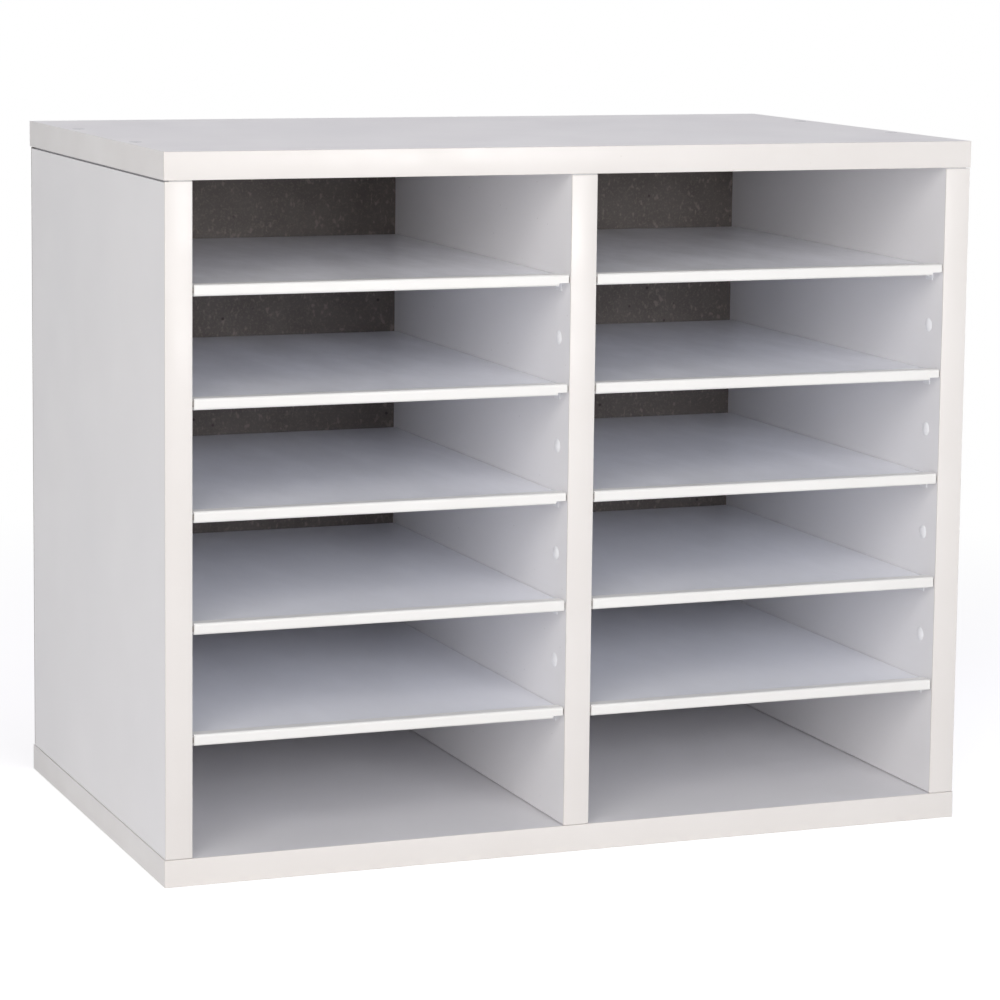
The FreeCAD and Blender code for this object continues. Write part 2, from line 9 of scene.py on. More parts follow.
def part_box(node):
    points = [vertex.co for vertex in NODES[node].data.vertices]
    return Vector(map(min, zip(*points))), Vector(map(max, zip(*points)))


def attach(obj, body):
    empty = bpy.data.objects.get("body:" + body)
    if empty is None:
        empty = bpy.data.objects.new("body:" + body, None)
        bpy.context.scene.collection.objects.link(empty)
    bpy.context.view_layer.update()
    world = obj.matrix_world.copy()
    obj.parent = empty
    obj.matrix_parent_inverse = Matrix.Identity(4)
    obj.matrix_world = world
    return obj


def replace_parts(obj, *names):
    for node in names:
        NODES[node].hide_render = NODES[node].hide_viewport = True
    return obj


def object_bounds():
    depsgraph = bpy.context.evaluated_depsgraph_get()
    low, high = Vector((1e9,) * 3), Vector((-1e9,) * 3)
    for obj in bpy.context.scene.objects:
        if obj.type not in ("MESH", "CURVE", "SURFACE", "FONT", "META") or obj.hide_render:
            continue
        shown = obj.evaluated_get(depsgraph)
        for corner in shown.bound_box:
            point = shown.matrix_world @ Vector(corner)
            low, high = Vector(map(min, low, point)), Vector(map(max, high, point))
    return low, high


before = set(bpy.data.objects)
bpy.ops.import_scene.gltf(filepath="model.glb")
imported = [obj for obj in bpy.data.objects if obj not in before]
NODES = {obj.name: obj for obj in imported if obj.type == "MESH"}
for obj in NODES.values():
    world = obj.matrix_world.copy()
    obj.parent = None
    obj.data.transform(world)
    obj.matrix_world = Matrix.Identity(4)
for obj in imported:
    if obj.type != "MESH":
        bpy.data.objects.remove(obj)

# Pigeonhole mail sorter, dressed. Lengths are in metres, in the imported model's own frame: +X to the
# right, +Y to the back, +Z up, and the open front faces -Y.

CAD_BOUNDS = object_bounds()
MM = 0.001
TOUCHING = 0.01 * MM    # places nearer to each other than this are the same
CLEAR = 1 * MM          # a place farther than this from an end isn't on it

SHELVES = [f"{column}_shelf_{number}" for column in ("left", "right") for number in range(1, 6)]
COVERS = ("top_panel", "bottom_panel")
UPRIGHTS = ("left_side_panel", "right_side_panel", "center_divider")
# Each set of hole caps, with the direction along X that its wall faces.
CAP_WALLS = {"left_side_hole_caps": 1, "divider_left_hole_caps": -1,
             "divider_right_hole_caps": 1, "right_side_hole_caps": -1}


# ---- Camera -----------------------------------------------------------------------------------

CAMERA_PLACE = Vector((-0.7987, -2.0505, 0.5464))
CAMERA_YAW = math.radians(21.49)
CAMERA_PITCH = math.radians(7.66)
CAMERA_ROLL = math.radians(0.65)
CAMERA_LENS = 128.23
CAMERA_SHIFT = -0.10


def add_camera():
    """The photograph's camera: it stands left of the front and looks right and a little down."""
    data = bpy.data.cameras.new("camera")
    data.lens = CAMERA_LENS
    data.shift_y = CAMERA_SHIFT
    camera = bpy.data.objects.new("camera", data)
    yaw = Matrix.Rotation(-CAMERA_YAW, 4, "Z")
    pitch = Matrix.Rotation(math.pi / 2 - CAMERA_PITCH, 4, "X")
    roll = Matrix.Rotation(CAMERA_ROLL, 4, "Z")
    camera.matrix_world = Matrix.Translation(CAMERA_PLACE) @ yaw @ pitch @ roll
    bpy.context.collection.objects.link(camera)
    bpy.context.scene.camera = camera


# ---- Shader nodes -----------------------------------------------------------------------------

# Noise stays mostly between these, so they are spread over the whole range of a tone.
NOISE_LOW = 0.3
NOISE_HIGH = 0.7


def new_material(name):
    """A material with its node tree and its Principled shader."""
    material = bpy.data.materials.new(name)
    material.use_nodes = True
    tree = material.node_tree
    return material, tree, tree.nodes["Principled BSDF"]


def feed(tree, socket, source):
    """Links the socket from another one, or sets it to a constant."""
    if isinstance(source, bpy.types.NodeSocket):
        tree.links.new(source, socket)
    else:
        socket.default_value = source


def add(tree, kind, inputs=None, **settings):
    """A node with its settings. Each input is a socket to link from, or a constant."""
    node = tree.nodes.new(kind)
    for key, setting in settings.items():
        setattr(node, key, setting)
    for name, source in (inputs or {}).items():
        feed(tree, node.inputs[name], source)
    return node


def place(tree, stretch=(1.0, 1.0, 1.0)):
    """The piece's own coordinates in metres, which move with it, scaled by stretch."""
    coordinates = add(tree, "ShaderNodeTexCoord").outputs["Object"]
    mapping = add(tree, "ShaderNodeMapping", {"Vector": coordinates, "Scale": stretch})
    return mapping.outputs["Vector"]


def noise(tree, where, scale, detail=2.0, roughness=0.5):
    """Smooth noise with about scale bumps to the metre."""
    settings = {"Vector": where, "Scale": scale, "Detail": detail, "Roughness": roughness}
    return add(tree, "ShaderNodeTexNoise", settings).outputs["Fac"]


def remap(tree, what, low, high, to_low=0.0, to_high=1.0):
    """what from low..high to to_low..to_high, held at both ends."""
    settings = {"Value": what, "From Min": low, "From Max": high,
                "To Min": to_low, "To Max": to_high}
    return add(tree, "ShaderNodeMapRange", settings).outputs["Result"]


def blend(tree, amount, first, second):
    """The first colour where amount is 0, the second where it is 1."""
    node = add(tree, "ShaderNodeMix", data_type="RGBA")
    factor, first_colour, second_colour = node.inputs[0], node.inputs[6], node.inputs[7]
    feed(tree, factor, amount)
    feed(tree, first_colour, first)
    feed(tree, second_colour, second)
    return node.outputs[2]


def combine(tree, operation, first, second):
    """The Math node's operation on two numbers."""
    node = add(tree, "ShaderNodeMath", operation=operation)
    feed(tree, node.inputs[0], first)
    feed(tree, node.inputs[1], second)
    return node.outputs[0]


def tone(tree, pattern, tones):
    """A colour that follows a noise pattern from the first of two tones to the second."""
    return blend(tree, remap(tree, pattern, NOISE_LOW, NOISE_HIGH), *tones)


def overlay(tree, mask, amount, base, top):
    """The base colour with an amount of the top colour where the mask is 1."""
    return blend(tree, combine(tree, "MULTIPLY", mask, amount), base, top)


def flecks(tree, where, scale, share, size):
    """A mask of round spots in a share of the cells, each spot's radius up to size of a cell."""
    cells = add(tree, "ShaderNodeTexVoronoi", {"Vector": where, "Scale": scale})
    chosen = add(tree, "ShaderNodeSeparateColor", {"Color": cells.outputs["Color"]}).outputs[0]
    spot = remap(tree, cells.outputs["Distance"], size, size / 2)
    return combine(tree, "MULTIPLY", spot, combine(tree, "LESS_THAN", chosen, share))


def set_colour(tree, shader, source):
    feed(tree, shader.inputs["Base Color"], source)


def set_roughness(tree, shader, pattern, low, high):
    """Roughness that follows a noise pattern from low to high."""
    spread = remap(tree, pattern, NOISE_LOW, NOISE_HIGH, low, high)
    feed(tree, shader.inputs["Roughness"], spread)


def set_bump(tree, shader, height, distance, strength):
    settings = {"Height": height, "Distance": distance, "Strength": strength}
    feed(tree, shader.inputs["Normal"], add(tree, "ShaderNodeBump", settings).outputs["Normal"])


# ---- Colours ----------------------------------------------------------------------------------

def colour(red, green, blue):
    """A linear colour with full alpha."""
    return (red, green, blue, 1.0)


# Two colours in one value are the dullest and the brightest tone of a surface.
LAMINATE_WHITE = (colour(0.855, 0.85, 0.858), colour(0.88, 0.872, 0.876))
# A darker copy of the white laminate for the slots' floor: painted shade.
LAMINATE_PAINTED_FLOOR_SHADE = (colour(0.765, 0.76, 0.775), colour(0.795, 0.788, 0.80))
LAMINATE_PIT = colour(0.55, 0.53, 0.52)
CHIP = (colour(0.34, 0.24, 0.15), colour(0.60, 0.46, 0.31))
CHIP_GAP = colour(0.16, 0.11, 0.07)
CHIP_DUST = colour(0.52, 0.41, 0.29)
# Grey of painted shade in the joint lines; the same grey goes round the screw heads.
JOINT_PAINTED_SHADE = (colour(0.56, 0.56, 0.575), colour(0.66, 0.66, 0.675))
# The front strips' banding is darker than the ends': painted shade that holds down the brightly lit
# front.
FRONT_BAND_PAINTED_SHADE = (colour(0.745, 0.712, 0.681), colour(0.77, 0.74, 0.71))
END_BAND = (colour(0.775, 0.752, 0.735), colour(0.80, 0.78, 0.765))
BAND_SCUFF = colour(0.70, 0.67, 0.63)
HARDBOARD = (colour(0.146, 0.128, 0.118), colour(0.182, 0.161, 0.149))
HARDBOARD_GRAIN = colour(0.29, 0.255, 0.225)
HARDBOARD_FIBRE = colour(0.34, 0.30, 0.26)
HARDBOARD_CHAFF = colour(0.32, 0.28, 0.25)
HARDBOARD_KNOT = colour(0.055, 0.046, 0.042)
# The shelves' little blue is painted in for the cool shade deep in the slots.
SHELF_WHITE_PAINTED_BLUE = (colour(0.89, 0.90, 0.938), colour(0.91, 0.918, 0.95))
SHELF_SPECK = colour(0.93, 0.93, 0.94)
SAWN_FIBRE = (colour(0.26, 0.24, 0.22), colour(0.38, 0.35, 0.32))
SAWN_FUZZ = colour(0.52, 0.48, 0.44)
TRIM_WHITE = (colour(0.80, 0.79, 0.765), colour(0.825, 0.82, 0.795))
MOULDED_WHITE = (colour(0.91, 0.915, 0.93), colour(0.955, 0.96, 0.97))
ZINC = (colour(0.40, 0.40, 0.41), colour(0.62, 0.62, 0.63))
BEECH = (colour(0.56, 0.38, 0.22), colour(0.72, 0.55, 0.37))
BEECH_RAY = colour(0.38, 0.22, 0.12)
FLOOR_PALE = colour(0.85, 0.85, 0.86)
AMBIENT = colour(0.96, 0.98, 1.0)
WHITE = colour(1.0, 1.0, 1.0)


# ---- Materials --------------------------------------------------------------------------------

def laminate(name, tones):
    """White melamine paper on board: faint cloudy tone, an orange-peel skin and a few pits."""
    material, tree, shader = new_material(name)
    where = place(tree)
    base = tone(tree, noise(tree, where, scale=9.0, detail=3.0), tones)
    pits = flecks(tree, where, scale=120.0, share=0.05, size=0.05)
    set_colour(tree, shader, blend(tree, pits, base, LAMINATE_PIT))
    smears = noise(tree, where, scale=25.0, detail=4.0, roughness=0.6)
    set_roughness(tree, shader, smears, 0.36, 0.50)
    skin = noise(tree, where, scale=1400.0)
    relief = combine(tree, "SUBTRACT", skin, pits)
    set_bump(tree, shader, relief, distance=0.02 * MM, strength=0.5)
    shader.inputs["Specular IOR Level"].default_value = 0.3
    return material


def chipboard():
    """Raw particle board where the laminated panels are cut and drilled."""
    material, tree, shader = new_material("particle_board")
    where = place(tree, stretch=(1.0, 1.0, 2.2))
    chips = add(tree, "ShaderNodeTexVoronoi", {"Vector": where, "Scale": 420.0, "Randomness": 1.0})
    chip = add(tree, "ShaderNodeSeparateColor", {"Color": chips.outputs["Color"]}).outputs[0]
    gaps = remap(tree, chips.outputs["Distance"], low=0.45, high=0.75)
    wood = overlay(tree, gaps, 0.7, blend(tree, chip, *CHIP), CHIP_GAP)
    dust = noise(tree, where, scale=900.0, detail=4.0, roughness=0.7)
    set_colour(tree, shader, blend(tree, remap(tree, dust, low=0.45, high=0.75), wood, CHIP_DUST))
    shader.inputs["Roughness"].default_value = 0.9
    relief = combine(tree, "SUBTRACT", dust, gaps)
    set_bump(tree, shader, relief, distance=0.25 * MM, strength=0.8)
    return material


def joint_painted_shade():
    """Grey painted shade in the joint lines under the top and on the upright fronts seen through
    them; the same grey goes round the screw heads.
    """
    material, tree, shader = new_material("joint_painted_shade")
    dust = noise(tree, place(tree), scale=500.0, detail=3.0, roughness=0.6)
    set_colour(tree, shader, tone(tree, dust, JOINT_PAINTED_SHADE))
    shader.inputs["Roughness"].default_value = 0.85
    set_bump(tree, shader, dust, distance=0.05 * MM, strength=0.6)
    return material


def edging(name, tones):
    """Warm white edge banding, with the fine lengthwise lines that the trimming leaves."""
    material, tree, shader = new_material(name)
    where = place(tree)
    base = tone(tree, noise(tree, where, scale=14.0, detail=3.0), tones)
    scuffs = flecks(tree, where, scale=90.0, share=0.04, size=0.06)
    set_colour(tree, shader, blend(tree, scuffs, base, BAND_SCUFF))
    set_roughness(tree, shader, noise(tree, where, scale=40.0, detail=3.0), 0.30, 0.42)
    upright_lines = noise(tree, place(tree, stretch=(1.0, 1.0, 0.02)), scale=1600.0)
    level_lines = noise(tree, place(tree, stretch=(0.02, 1.0, 1.0)), scale=1600.0)
    relief = combine(tree, "ADD", upright_lines, level_lines)
    set_bump(tree, shader, relief, distance=0.01 * MM, strength=0.5)
    return material


def hardboard(name, screen_side):
    """Pressed brown fibre: pale and dark fibres on both sides, and a wire imprint on one."""
    material, tree, shader = new_material(name)
    where = place(tree)
    cloud = noise(tree, where, scale=45.0, detail=4.0, roughness=0.6)
    grain = noise(tree, where, scale=700.0, detail=3.0, roughness=0.7)
    fibres = noise(tree, place(tree, stretch=(1.0, 1.0, 0.22)), scale=420.0, detail=3.0,
                   roughness=0.75)
    fibres = remap(tree, fibres, low=0.64, high=0.72)
    chaff = noise(tree, place(tree, stretch=(1.0, 1.0, 0.7)), scale=330.0, detail=1.0)
    knots = flecks(tree, where, scale=150.0, share=0.16, size=0.20)
    base = tone(tree, cloud, HARDBOARD)
    base = overlay(tree, remap(tree, grain, low=0.50, high=0.75), 0.65, base, HARDBOARD_GRAIN)
    base = overlay(tree, fibres, 0.7, base, HARDBOARD_FIBRE)
    base = overlay(tree, remap(tree, chaff, low=0.62, high=0.74), 0.65, base, HARDBOARD_CHAFF)
    set_colour(tree, shader, overlay(tree, knots, 0.8, base, HARDBOARD_KNOT))
    set_roughness(tree, shader, grain, 0.62, 0.82)
    shader.inputs["Specular IOR Level"].default_value = 0.25
    if screen_side:
        wires, wefts = (add(tree, "ShaderNodeTexWave", {"Vector": where, "Scale": 260.0},
                            bands_direction=direction).outputs["Fac"] for direction in "XZ")
        grid = combine(tree, "MULTIPLY", wires, wefts)
        relief = combine(tree, "ADD", grid, combine(tree, "MULTIPLY", grain, 0.4))
        set_bump(tree, shader, relief, distance=0.25 * MM, strength=0.9)
    else:
        relief = combine(tree, "ADD", grain, fibres)
        set_bump(tree, shader, relief, distance=0.06 * MM, strength=0.6)
    return material


def shelf_face():
    """Glossy white face of a thin shelf, with faint waves and rubbed places; its little blue is
    painted in for the cool shade deep in the slots.
    """
    material, tree, shader = new_material("shelf_white")
    where = place(tree)
    base = tone(tree, noise(tree, where, scale=8.0, detail=3.0), SHELF_WHITE_PAINTED_BLUE)
    specks = flecks(tree, where, scale=60.0, share=0.05, size=0.03)
    set_colour(tree, shader, blend(tree, specks, base, SHELF_SPECK))
    shader.inputs["Specular IOR Level"].default_value = 0.15
    rubs = noise(tree, place(tree, stretch=(1.0, 0.35, 1.0)), scale=30.0, detail=4.0,
                 roughness=0.65)
    feed(tree, shader.inputs["Roughness"], remap(tree, rubs, 0.3, 0.75, 0.16, 0.26))
    waves = noise(tree, where, scale=60.0)
    skin = noise(tree, where, scale=700.0)
    relief = combine(tree, "ADD", waves, skin)
    set_bump(tree, shader, relief, distance=0.02 * MM, strength=0.35)
    return material


def fibre_edge():
    """Sawn edge of a thin shelf board: brown fibre in layers, with paler fuzz."""
    material, tree, shader = new_material("shelf_sawn_edge")
    layers = noise(tree, place(tree, stretch=(0.1, 0.1, 1.0)), scale=1500.0, detail=3.0)
    fuzz = noise(tree, place(tree), scale=1100.0, detail=4.0, roughness=0.7)
    base = tone(tree, layers, SAWN_FIBRE)
    set_colour(tree, shader, blend(tree, remap(tree, fuzz, low=0.5, high=0.8), base, SAWN_FUZZ))
    shader.inputs["Roughness"].default_value = 0.88
    set_bump(tree, shader, fuzz, distance=0.15 * MM, strength=0.8)
    return material


def shelf_trim():
    """Glossy white extruded channel with very faint draw lines along it."""
    material, tree, shader = new_material("trim_white")
    where = place(tree)
    set_colour(tree, shader, tone(tree, noise(tree, where, scale=20.0), TRIM_WHITE))
    set_roughness(tree, shader, noise(tree, where, scale=90.0, detail=3.0), 0.30, 0.40)
    draw_lines = noise(tree, place(tree, stretch=(0.003, 1.0, 1.0)), scale=1800.0)
    set_bump(tree, shader, draw_lines, distance=0.004 * MM, strength=0.5)
    return material


def pin_plastic():
    """White moulded plastic of the pins and the hole caps."""
    material, tree, shader = new_material("moulded_white")
    where = place(tree)
    set_colour(tree, shader, tone(tree, noise(tree, where, scale=120.0), MOULDED_WHITE))
    set_roughness(tree, shader, noise(tree, where, scale=600.0, detail=3.0), 0.28, 0.40)
    set_bump(tree, shader, noise(tree, where, scale=1500.0), distance=0.01 * MM, strength=0.6)
    return material


def zinc():
    """Plated steel of the screws and nails, with dull cloudy patches."""
    material, tree, shader = new_material("zinc_plating")
    where = place(tree)
    cloud = noise(tree, where, scale=350.0, detail=4.0, roughness=0.6)
    set_colour(tree, shader, tone(tree, cloud, ZINC))
    set_roughness(tree, shader, cloud, 0.28, 0.50)
    shader.inputs["Metallic"].default_value = 1.0
    set_bump(tree, shader, noise(tree, where, scale=2500.0), distance=0.015 * MM, strength=0.6)
    return material


def beech():
    """Dowel wood: long grain up the dowel with short darker rays."""
    material, tree, shader = new_material("beech_dowel")
    grain = noise(tree, place(tree, stretch=(1.0, 1.0, 0.06)), scale=1300.0, detail=4.0,
                  roughness=0.6)
    rays = noise(tree, place(tree, stretch=(1.0, 1.0, 0.25)), scale=2200.0)
    base = tone(tree, grain, BEECH)
    set_colour(tree, shader, blend(tree, remap(tree, rays, low=0.62, high=0.70), base, BEECH_RAY))
    shader.inputs["Roughness"].default_value = 0.7
    set_bump(tree, shader, grain, distance=0.05 * MM, strength=0.6)
    return material


# ---- Materials on the CAD nodes ---------------------------------------------------------------

JOINT_DEPTH = 2.6 * MM      # how far the joint lines at an upright's ends go in, with some to spare
JOINT_HEIGHT = 1.2 * MM
RIM_DEPTH = 3.0 * MM        # the countersink round a screw head, from the panel's outer face


def paint(node, materials, choose=lambda face: 0):
    """Gives the node its materials, and each face the one whose number choose returns."""
    mesh = NODES[node].data
    mesh.materials.clear()
    for material in materials:
        mesh.materials.append(material)
    for face in mesh.polygons:
        face.material_index = choose(face)


def paint_nodes(moulded):
    """Materials of every CAD node that stays visible."""
    white = laminate("laminate_white", LAMINATE_WHITE)
    # The darker copy of the laminate is painted shade on the slots' floor.
    painted_floor_shade = laminate("laminate_painted_floor_shade", LAMINATE_PAINTED_FLOOR_SHADE)
    # line is the grey painted shade of the joint lines.
    raw, line = chipboard(), joint_painted_shade()
    for node in COVERS:
        low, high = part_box(node)
        is_floor = node == "bottom_panel"
        paint(node, (white, raw, line, painted_floor_shade), lambda face: cover_skin(face, low, high, is_floor))
    for node in UPRIGHTS:
        low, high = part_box(node)
        paint(node, (white, raw, line), lambda face: upright_skin(face, low, high))
    smooth, screen = hardboard("hardboard_smooth", False), hardboard("hardboard_screen", True)
    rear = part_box("back_panel")[1].y
    paint("back_panel", (smooth, screen), lambda face: int(rear - face.center.y < TOUCHING))

    gloss, sawn, channel = shelf_face(), fibre_edge(), shelf_trim()
    for shelf in SHELVES:
        paint(f"{shelf}_board", (gloss, sawn), lambda face: int(is_upright(face)))
        paint(f"{shelf}_trim", (channel,))
        paint(f"{shelf}_pins", (moulded,))
    plated, wood = zinc(), beech()
    for node in ("top_screws", "bottom_screws", "back_nails"):
        paint(node, (plated,))
    for node in ("top_dowels", "bottom_dowels"):
        paint(node, (wood,))


def is_upright(face):
    """Whether the face stands up, as a shelf board's sawn edges do."""
    return abs(face.normal.z) < 0.5


def cover_skin(face, low, high, is_floor):
    """0 on a laminated face, 1 on raw board, 2 round a screw head, 3 on the slots' floor, where a
    darker copy of the laminate is painted shade.
    """
    if on_skin(face, 2, low, high):
        # The slots' floor takes the darker laminate copy, which is painted shade.
        return 3 if is_floor and face.center.z > low.z + CLEAR else 0
    outer = low.z if is_floor else high.z
    in_rim = abs(face.center.z - outer) < RIM_DEPTH and face.center.y < high.y - CLEAR
    return 2 if in_rim else 1


def upright_skin(face, low, high):
    """0 on a laminated face and in the faint lower joint line, 2 where grey painted shade darkens the
    upper joint line and the front seen through it, else 1.
    """
    if on_skin(face, 0, low, high) or in_joint(face, low, high, low.z):
        return 0
    is_front = face.center.y - low.y < TOUCHING
    # The upper joint line and the front seen through it take the grey painted shade.
    return 2 if is_front or in_joint(face, low, high, high.z) else 1


def on_skin(face, axis, low, high):
    """Whether the face lies on one of the two laminated faces of a panel."""
    middle = face.center[axis]
    return min(middle - low[axis], high[axis] - middle) < TOUCHING


def in_joint(face, low, high, end):
    """Whether the face lies in the narrow joint line at that end of an upright."""
    middle = face.center
    near_skin = min(middle.x - low.x, high.x - middle.x) < JOINT_DEPTH
    return near_skin and abs(middle.z - end) < JOINT_HEIGHT


# ---- Rounded edges ----------------------------------------------------------------------------

ARRIS = 0.45 * MM
ARRIS_SEGMENTS = 3
SMOOTH_ANGLE = math.radians(50)     # a sharper edge than this is shaded as an edge

PIN_ARRIS = 0.2 * MM
PIN_SEGMENTS = 2
PIN_EDGE_ANGLE = math.radians(40)   # a sharper edge than this is rounded
FLAT_ANGLE = math.radians(1)        # faces that turn less than this are one flat face
SAME_POINT = 0.001 * MM


def new_piece(name, mesh, material):
    """A finished piece of the cabinet from a bmesh, which is used up."""
    data = bpy.data.meshes.new(name)
    bmesh.ops.recalc_face_normals(mesh, faces=mesh.faces)
    mesh.to_mesh(data)
    mesh.free()
    data.shade_smooth()
    data.set_sharp_from_angle(angle=SMOOTH_ANGLE)
    data.materials.append(material)
    piece = bpy.data.objects.new(name, data)
    bpy.context.collection.objects.link(piece)
    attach(piece, "cabinet")
    return piece


def banding(node, material):
    """A strip of edge banding with the arrises of its outer face rounded by the trimming cutter."""
    low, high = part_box(node)
    size = high - low
    mesh = bmesh.new()
    bmesh.ops.create_cube(mesh, size=1.0)
    for vertex in mesh.verts:
        vertex.co = Vector(low[i] + (vertex.co[i] + 0.5) * size[i] for i in range(3))
    axis, outer = outer_face(node, low, high)
    arrises = [edge for edge in mesh.edges if lies_at(edge, axis, outer)]
    if is_end_strip(node):  # its front edge butts against the front strip and stays sharp
        arrises = [edge for edge in arrises if not lies_at(edge, 1, low.y)]
    bmesh.ops.bevel(mesh, geom=arrises, offset=ARRIS, segments=ARRIS_SEGMENTS, profile=0.5,
                    affect="EDGES")
    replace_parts(new_piece(f"rounded_{node}", mesh, material), node)


def is_end_strip(node):
    """Whether the strip is on the left or right end of the top or bottom panel."""
    return node.endswith(("panel_left_edging", "panel_right_edging"))


def outer_face(node, low, high):
    """The axis across a strip's outer face, and that face's place on it."""
    if is_end_strip(node):
        return 0, low.x if "left" in node else high.x
    return 1, low.y


def lies_at(edge, axis, at):
    return all(abs(vertex.co[axis] - at) < TOUCHING for vertex in edge.verts)


def soften(node):
    """Rounds the node's sharp edges in the render mesh. Its own vertices stay as they are."""
    piece = NODES[node]
    piece.modifiers.new("weld", "WELD").merge_threshold = SAME_POINT
    flats = piece.modifiers.new("flats", "DECIMATE")
    flats.decimate_type = "DISSOLVE"
    flats.angle_limit = FLAT_ANGLE
    rounding = piece.modifiers.new("rounding", "BEVEL")
    rounding.width = PIN_ARRIS
    rounding.segments = PIN_SEGMENTS
    rounding.limit_method = "ANGLE"
    rounding.angle_limit = PIN_EDGE_ANGLE
    rounding.harden_normals = True


# ---- Hole caps --------------------------------------------------------------------------------

CAP_RADIUS = 4.1 * MM
CAP_HEIGHT = 1.2 * MM
CAP_RIM = 0.2 * MM
CAP_COUNT = 4
CAP_STEPS = 40
DOME_STEPS = 8
STEM_RADIUS = 2.5 * MM
STEM_LENGTH = 6.0 * MM
STEM_CHAMFER = 0.6 * MM
STEM_TIP_RADIUS = 2.0 * MM


def cap_profile():
    """Half outline of a cap, as (distance from the wall, radius): its stem, its rim, its dome."""
    profile = [(-STEM_LENGTH, STEM_TIP_RADIUS), (STEM_CHAMFER - STEM_LENGTH, STEM_RADIUS),
               (0.0, STEM_RADIUS), (0.0, CAP_RADIUS)]
    for step in range(DOME_STEPS + 1):
        share = 1.0 - step / DOME_STEPS
        rise = CAP_RIM + (CAP_HEIGHT - CAP_RIM) * (1.0 - share ** 2)
        profile.append((rise, CAP_RADIUS * share))
    return profile


def ring(mesh, middle, radius):
    """Vertices of a circle across X, or the single one in the middle of a dome."""
    if radius < SAME_POINT:
        return [mesh.verts.new(middle)]
    turns = [2 * math.pi * step / CAP_STEPS for step in range(CAP_STEPS)]
    return [mesh.verts.new(middle + Vector((0.0, radius * math.cos(turn), radius * math.sin(turn))))
            for turn in turns]


def lathe(mesh, profile, centre, facing):
    """Spins the profile about a line along X through centre and adds it to the mesh."""
    rings = [ring(mesh, centre + Vector((facing * along, 0.0, 0.0)), radius)
             for along, radius in profile]
    mesh.faces.new(rings[0])
    for first, second in zip(rings, rings[1:]):
        for step in range(CAP_STEPS):
            after = (step + 1) % CAP_STEPS
            if len(second) == 1:
                mesh.faces.new((first[step], first[after], second[0]))
            else:
                mesh.faces.new((first[step], first[after], second[after], second[step]))


def hole_caps(node, facing, material):
    """Domed caps in the spare holes of one wall, in place of the node's plain ones."""
    low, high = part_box(node)
    wall = high.x - CAP_HEIGHT if facing > 0 else low.x + CAP_HEIGHT
    climb = (high.z - low.z - 2 * CAP_RADIUS) / (CAP_COUNT - 1)
    mesh = bmesh.new()
    for step in range(CAP_COUNT):
        centre = Vector((wall, (low.y + high.y) / 2, low.z + CAP_RADIUS + step * climb))
        lathe(mesh, cap_profile(), centre, facing)
    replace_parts(new_piece(f"domed_{node}", mesh, material), node)


# ---- Light, floor and background --------------------------------------------------------------

AMBIENT_STRENGTH = 0.34
DIFFUSE_BOUNCES = 12    # the backs of white slots are lit by light that bounces this often
ALL_BOUNCES = 16

FLOOR_HALF = 6.0
FLOOR_CELLS = 4
FLOOR_GAP = 0.2 * MM    # below the object, so that the two don't share a plane
FLOOR_GLOW = 0.55       # what the camera sees on top of the lit floor, so that it shows white
FADE_START = 0.5
FADE_END = 1.1

Softbox = namedtuple("Softbox", "name place target sides watts tint")
SOFTBOXES = (
    Softbox("key", place=(-1.65, -1.95, 1.1), target=(0.0, 0.0, 0.2), sides=(1.5, 1.5),
            watts=31.8, tint=(1.0, 0.965, 0.94)),
    Softbox("front_right", place=(0.3, -1.6, 0.5), target=(0.1, 0.0, 0.2), sides=(0.45, 0.3),
            watts=7.3, tint=(0.97, 0.98, 1.0)),
    Softbox("right_fill", place=(2.0, -0.6, 0.8), target=(0.1, 0.0, 0.2), sides=(1.0, 1.0),
            watts=3.6, tint=(1.0, 1.0, 1.0)),
    Softbox("top", place=(0.0, 0.0, 2.4), target=(0.0, 0.0, 0.4), sides=(1.5, 1.5),
            watts=5.0, tint=(0.88, 0.72, 1.0)),
)


def add_softbox(box):
    """An area lamp that faces its target."""
    lamp = bpy.data.lights.new(box.name, "AREA")
    lamp.shape = "RECTANGLE"
    lamp.size, lamp.size_y = box.sides
    lamp.energy = box.watts
    lamp.color = box.tint
    light = bpy.data.objects.new(box.name, lamp)
    direction = Vector(box.target) - Vector(box.place)
    turn = direction.to_track_quat("-Z", "Y").to_matrix().to_4x4()
    light.matrix_world = Matrix.Translation(box.place) @ turn
    light.visible_camera = False
    bpy.context.collection.objects.link(light)


def seen_directly(tree):
    """1 for rays that show the background: from the camera, in a mirror or through glass."""
    rays = add(tree, "ShaderNodeLightPath").outputs
    mirrored = combine(tree, "MAXIMUM", rays["Is Camera Ray"], rays["Is Glossy Ray"])
    return combine(tree, "MAXIMUM", mirrored, rays["Is Transmission Ray"])


def mix_shaders(tree, amount, first, second):
    """The first shader where amount is 0, the second where it is 1."""
    return add(tree, "ShaderNodeMixShader", {0: amount, 1: first, 2: second}).outputs[0]


def set_world():
    """White where it is seen, and a soft even light where it only lights the object."""
    world = bpy.data.worlds.new("studio")
    bpy.context.scene.world = world
    world.use_nodes = True
    tree = world.node_tree
    tree.nodes.clear()
    ambient = add(tree, "ShaderNodeBackground", {"Color": AMBIENT, "Strength": AMBIENT_STRENGTH})
    white = add(tree, "ShaderNodeBackground", {"Color": WHITE, "Strength": 1.0})
    shown = mix_shaders(tree, seen_directly(tree), ambient.outputs[0], white.outputs[0])
    add(tree, "ShaderNodeOutputWorld", {"Surface": shown})


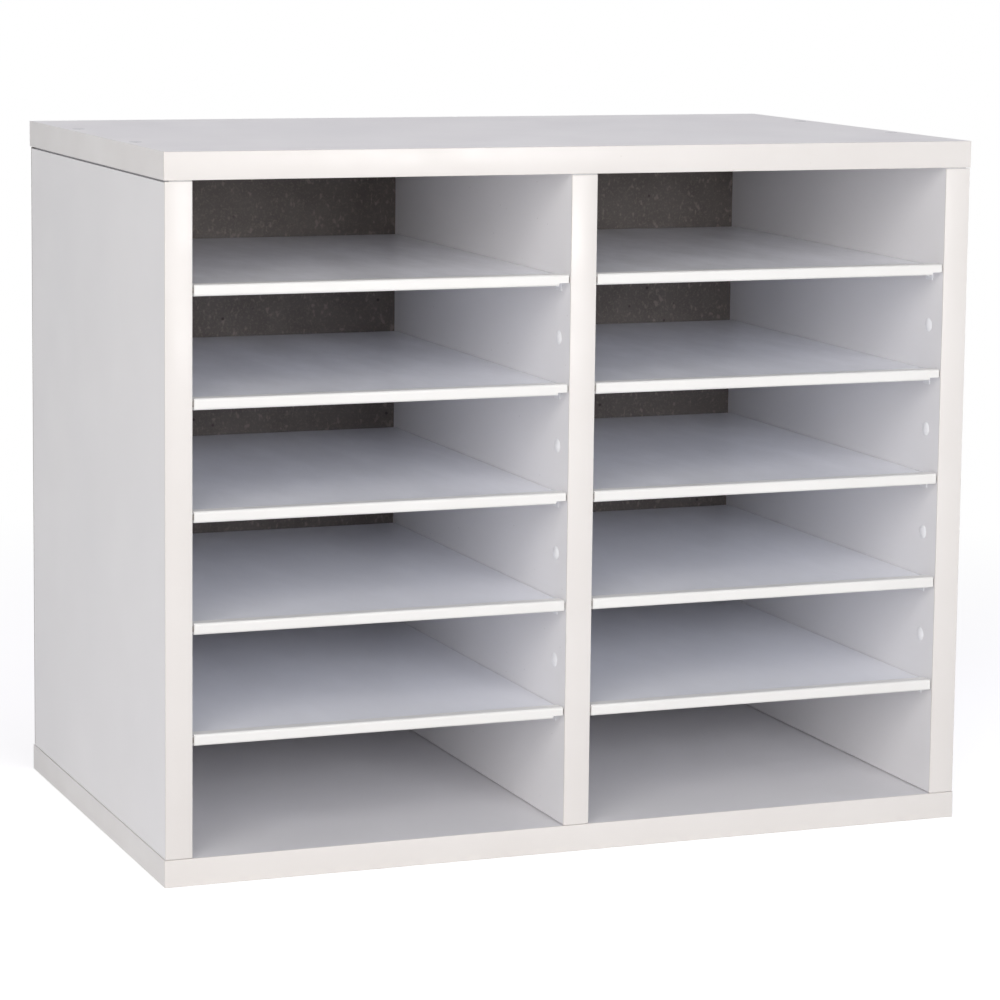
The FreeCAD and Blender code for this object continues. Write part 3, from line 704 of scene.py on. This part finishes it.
def floor_material():
    """Pale and lit near the object, white farther off, and clear from below."""
    material, tree, shader = new_material("pale_floor")
    shader.inputs["Base Color"].default_value = FLOOR_PALE
    shader.inputs["Roughness"].default_value = 1.0
    shader.inputs["Specular IOR Level"].default_value = 0.0
    matt = shader.outputs[0]
    glow = add(tree, "ShaderNodeEmission", {"Color": WHITE, "Strength": FLOOR_GLOW}).outputs[0]
    white = add(tree, "ShaderNodeEmission", {"Color": WHITE, "Strength": 1.0}).outputs[0]
    clear = add(tree, "ShaderNodeBsdfTransparent").outputs[0]
    geometry = add(tree, "ShaderNodeNewGeometry").outputs
    distance = add(tree, "ShaderNodeVectorMath", {0: geometry["Position"]}, operation="LENGTH")
    away = remap(tree, distance.outputs["Value"], FADE_START, FADE_END)
    bright = add(tree, "ShaderNodeAddShader", {0: matt, 1: glow}).outputs[0]
    shown = mix_shaders(tree, away, bright, white)
    top = mix_shaders(tree, seen_directly(tree), matt, shown)
    surface = mix_shaders(tree, geometry["Backfacing"], top, clear)
    feed(tree, tree.nodes["Material Output"].inputs["Surface"], surface)
    return material


def add_floor():
    """A pale floor that keeps the object's shadow and fades to the white background around it."""
    mesh = bmesh.new()
    bmesh.ops.create_grid(mesh, x_segments=FLOOR_CELLS, y_segments=FLOOR_CELLS, size=FLOOR_HALF)
    data = bpy.data.meshes.new("floor")
    mesh.to_mesh(data)
    mesh.free()
    data.materials.append(floor_material())
    floor = bpy.data.objects.new("floor", data)
    floor.location.z = CAD_BOUNDS[0].z - FLOOR_GAP
    bpy.context.collection.objects.link(floor)


# ---- Scene ------------------------------------------------------------------------------------

add_camera()
moulded_white = pin_plastic()
paint_nodes(moulded_white)
# The front banding is darker than the ends' as painted shade on the brightly lit front.
front_band_painted_shade = edging("edge_banding", FRONT_BAND_PAINTED_SHADE)
end_band = edging("edge_banding_ends", END_BAND)
for strip in NODES:
    if strip.endswith("_edging"):
        banding(strip, end_band if is_end_strip(strip) else front_band_painted_shade)
for shelf_name in SHELVES:
    soften(f"{shelf_name}_pins")
for wall_caps, side in CAP_WALLS.items():
    hole_caps(wall_caps, side, moulded_white)
set_world()
add_floor()
for softbox in SOFTBOXES:
    add_softbox(softbox)
bpy.context.scene.view_settings.view_transform = "Standard"
bpy.context.scene.cycles.diffuse_bounces = DIFFUSE_BOUNCES
bpy.context.scene.cycles.max_bounces = ALL_BOUNCES
